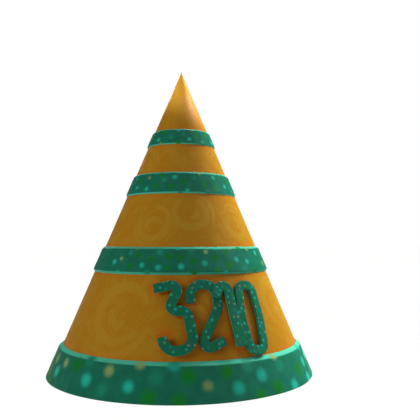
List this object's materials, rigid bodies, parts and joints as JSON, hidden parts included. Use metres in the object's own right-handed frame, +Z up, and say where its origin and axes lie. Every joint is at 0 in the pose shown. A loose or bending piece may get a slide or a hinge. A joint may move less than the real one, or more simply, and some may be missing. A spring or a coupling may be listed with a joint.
{
  "type": "cone party hat",
  "caption": "Tall gold cone hat with bevelled dotted foam bands, a thick foam brim and raised countdown numerals at the front.",
  "frame": {"origin": "centre of the hat's mouth, in the plane of the brim's flat underside that the hat stands on", "axes": "+Z up the cone's axis to the tip, -Y out through the front, +X to the right of someone facing the front"},
  "size_m": [0.1538, 0.1538, 0.178],
  "materials": {
    "greyboard": "matte",
    "gold_paper": "satin",
    "teal_foam": "matte",
    "felt": "matte",
    "white_tape": "matte",
    "adhesive_foam": "matte",
    "brass": "satin"
  },
  "bodies": {
    "root": {"cone_board": "greyboard", "gold_cover": "gold_paper", "tip_plug": "gold_paper", "seam_tape": "white_tape", "hem_tape": "white_tape", "sweatband": "felt", "top_band": "teal_foam", "upper_band": "teal_foam", "lower_band": "teal_foam", "brim": "teal_foam", "numeral_three": "teal_foam", "numeral_two": "teal_foam", "numeral_one": "teal_foam", "numeral_zero": "teal_foam", "pad_numeral_three_a": "adhesive_foam", "pad_numeral_three_b": "adhesive_foam", "pad_numeral_two_a": "adhesive_foam", "pad_numeral_two_b": "adhesive_foam", "pad_numeral_one_a": "adhesive_foam", "pad_numeral_one_b": "adhesive_foam", "pad_numeral_zero_a": "adhesive_foam", "pad_numeral_zero_b": "adhesive_foam", "eyelet_left": "brass", "eyelet_right": "brass", "eyelet_washer_left": "brass", "eyelet_washer_right": "brass"}
  },
  "joints": []
}
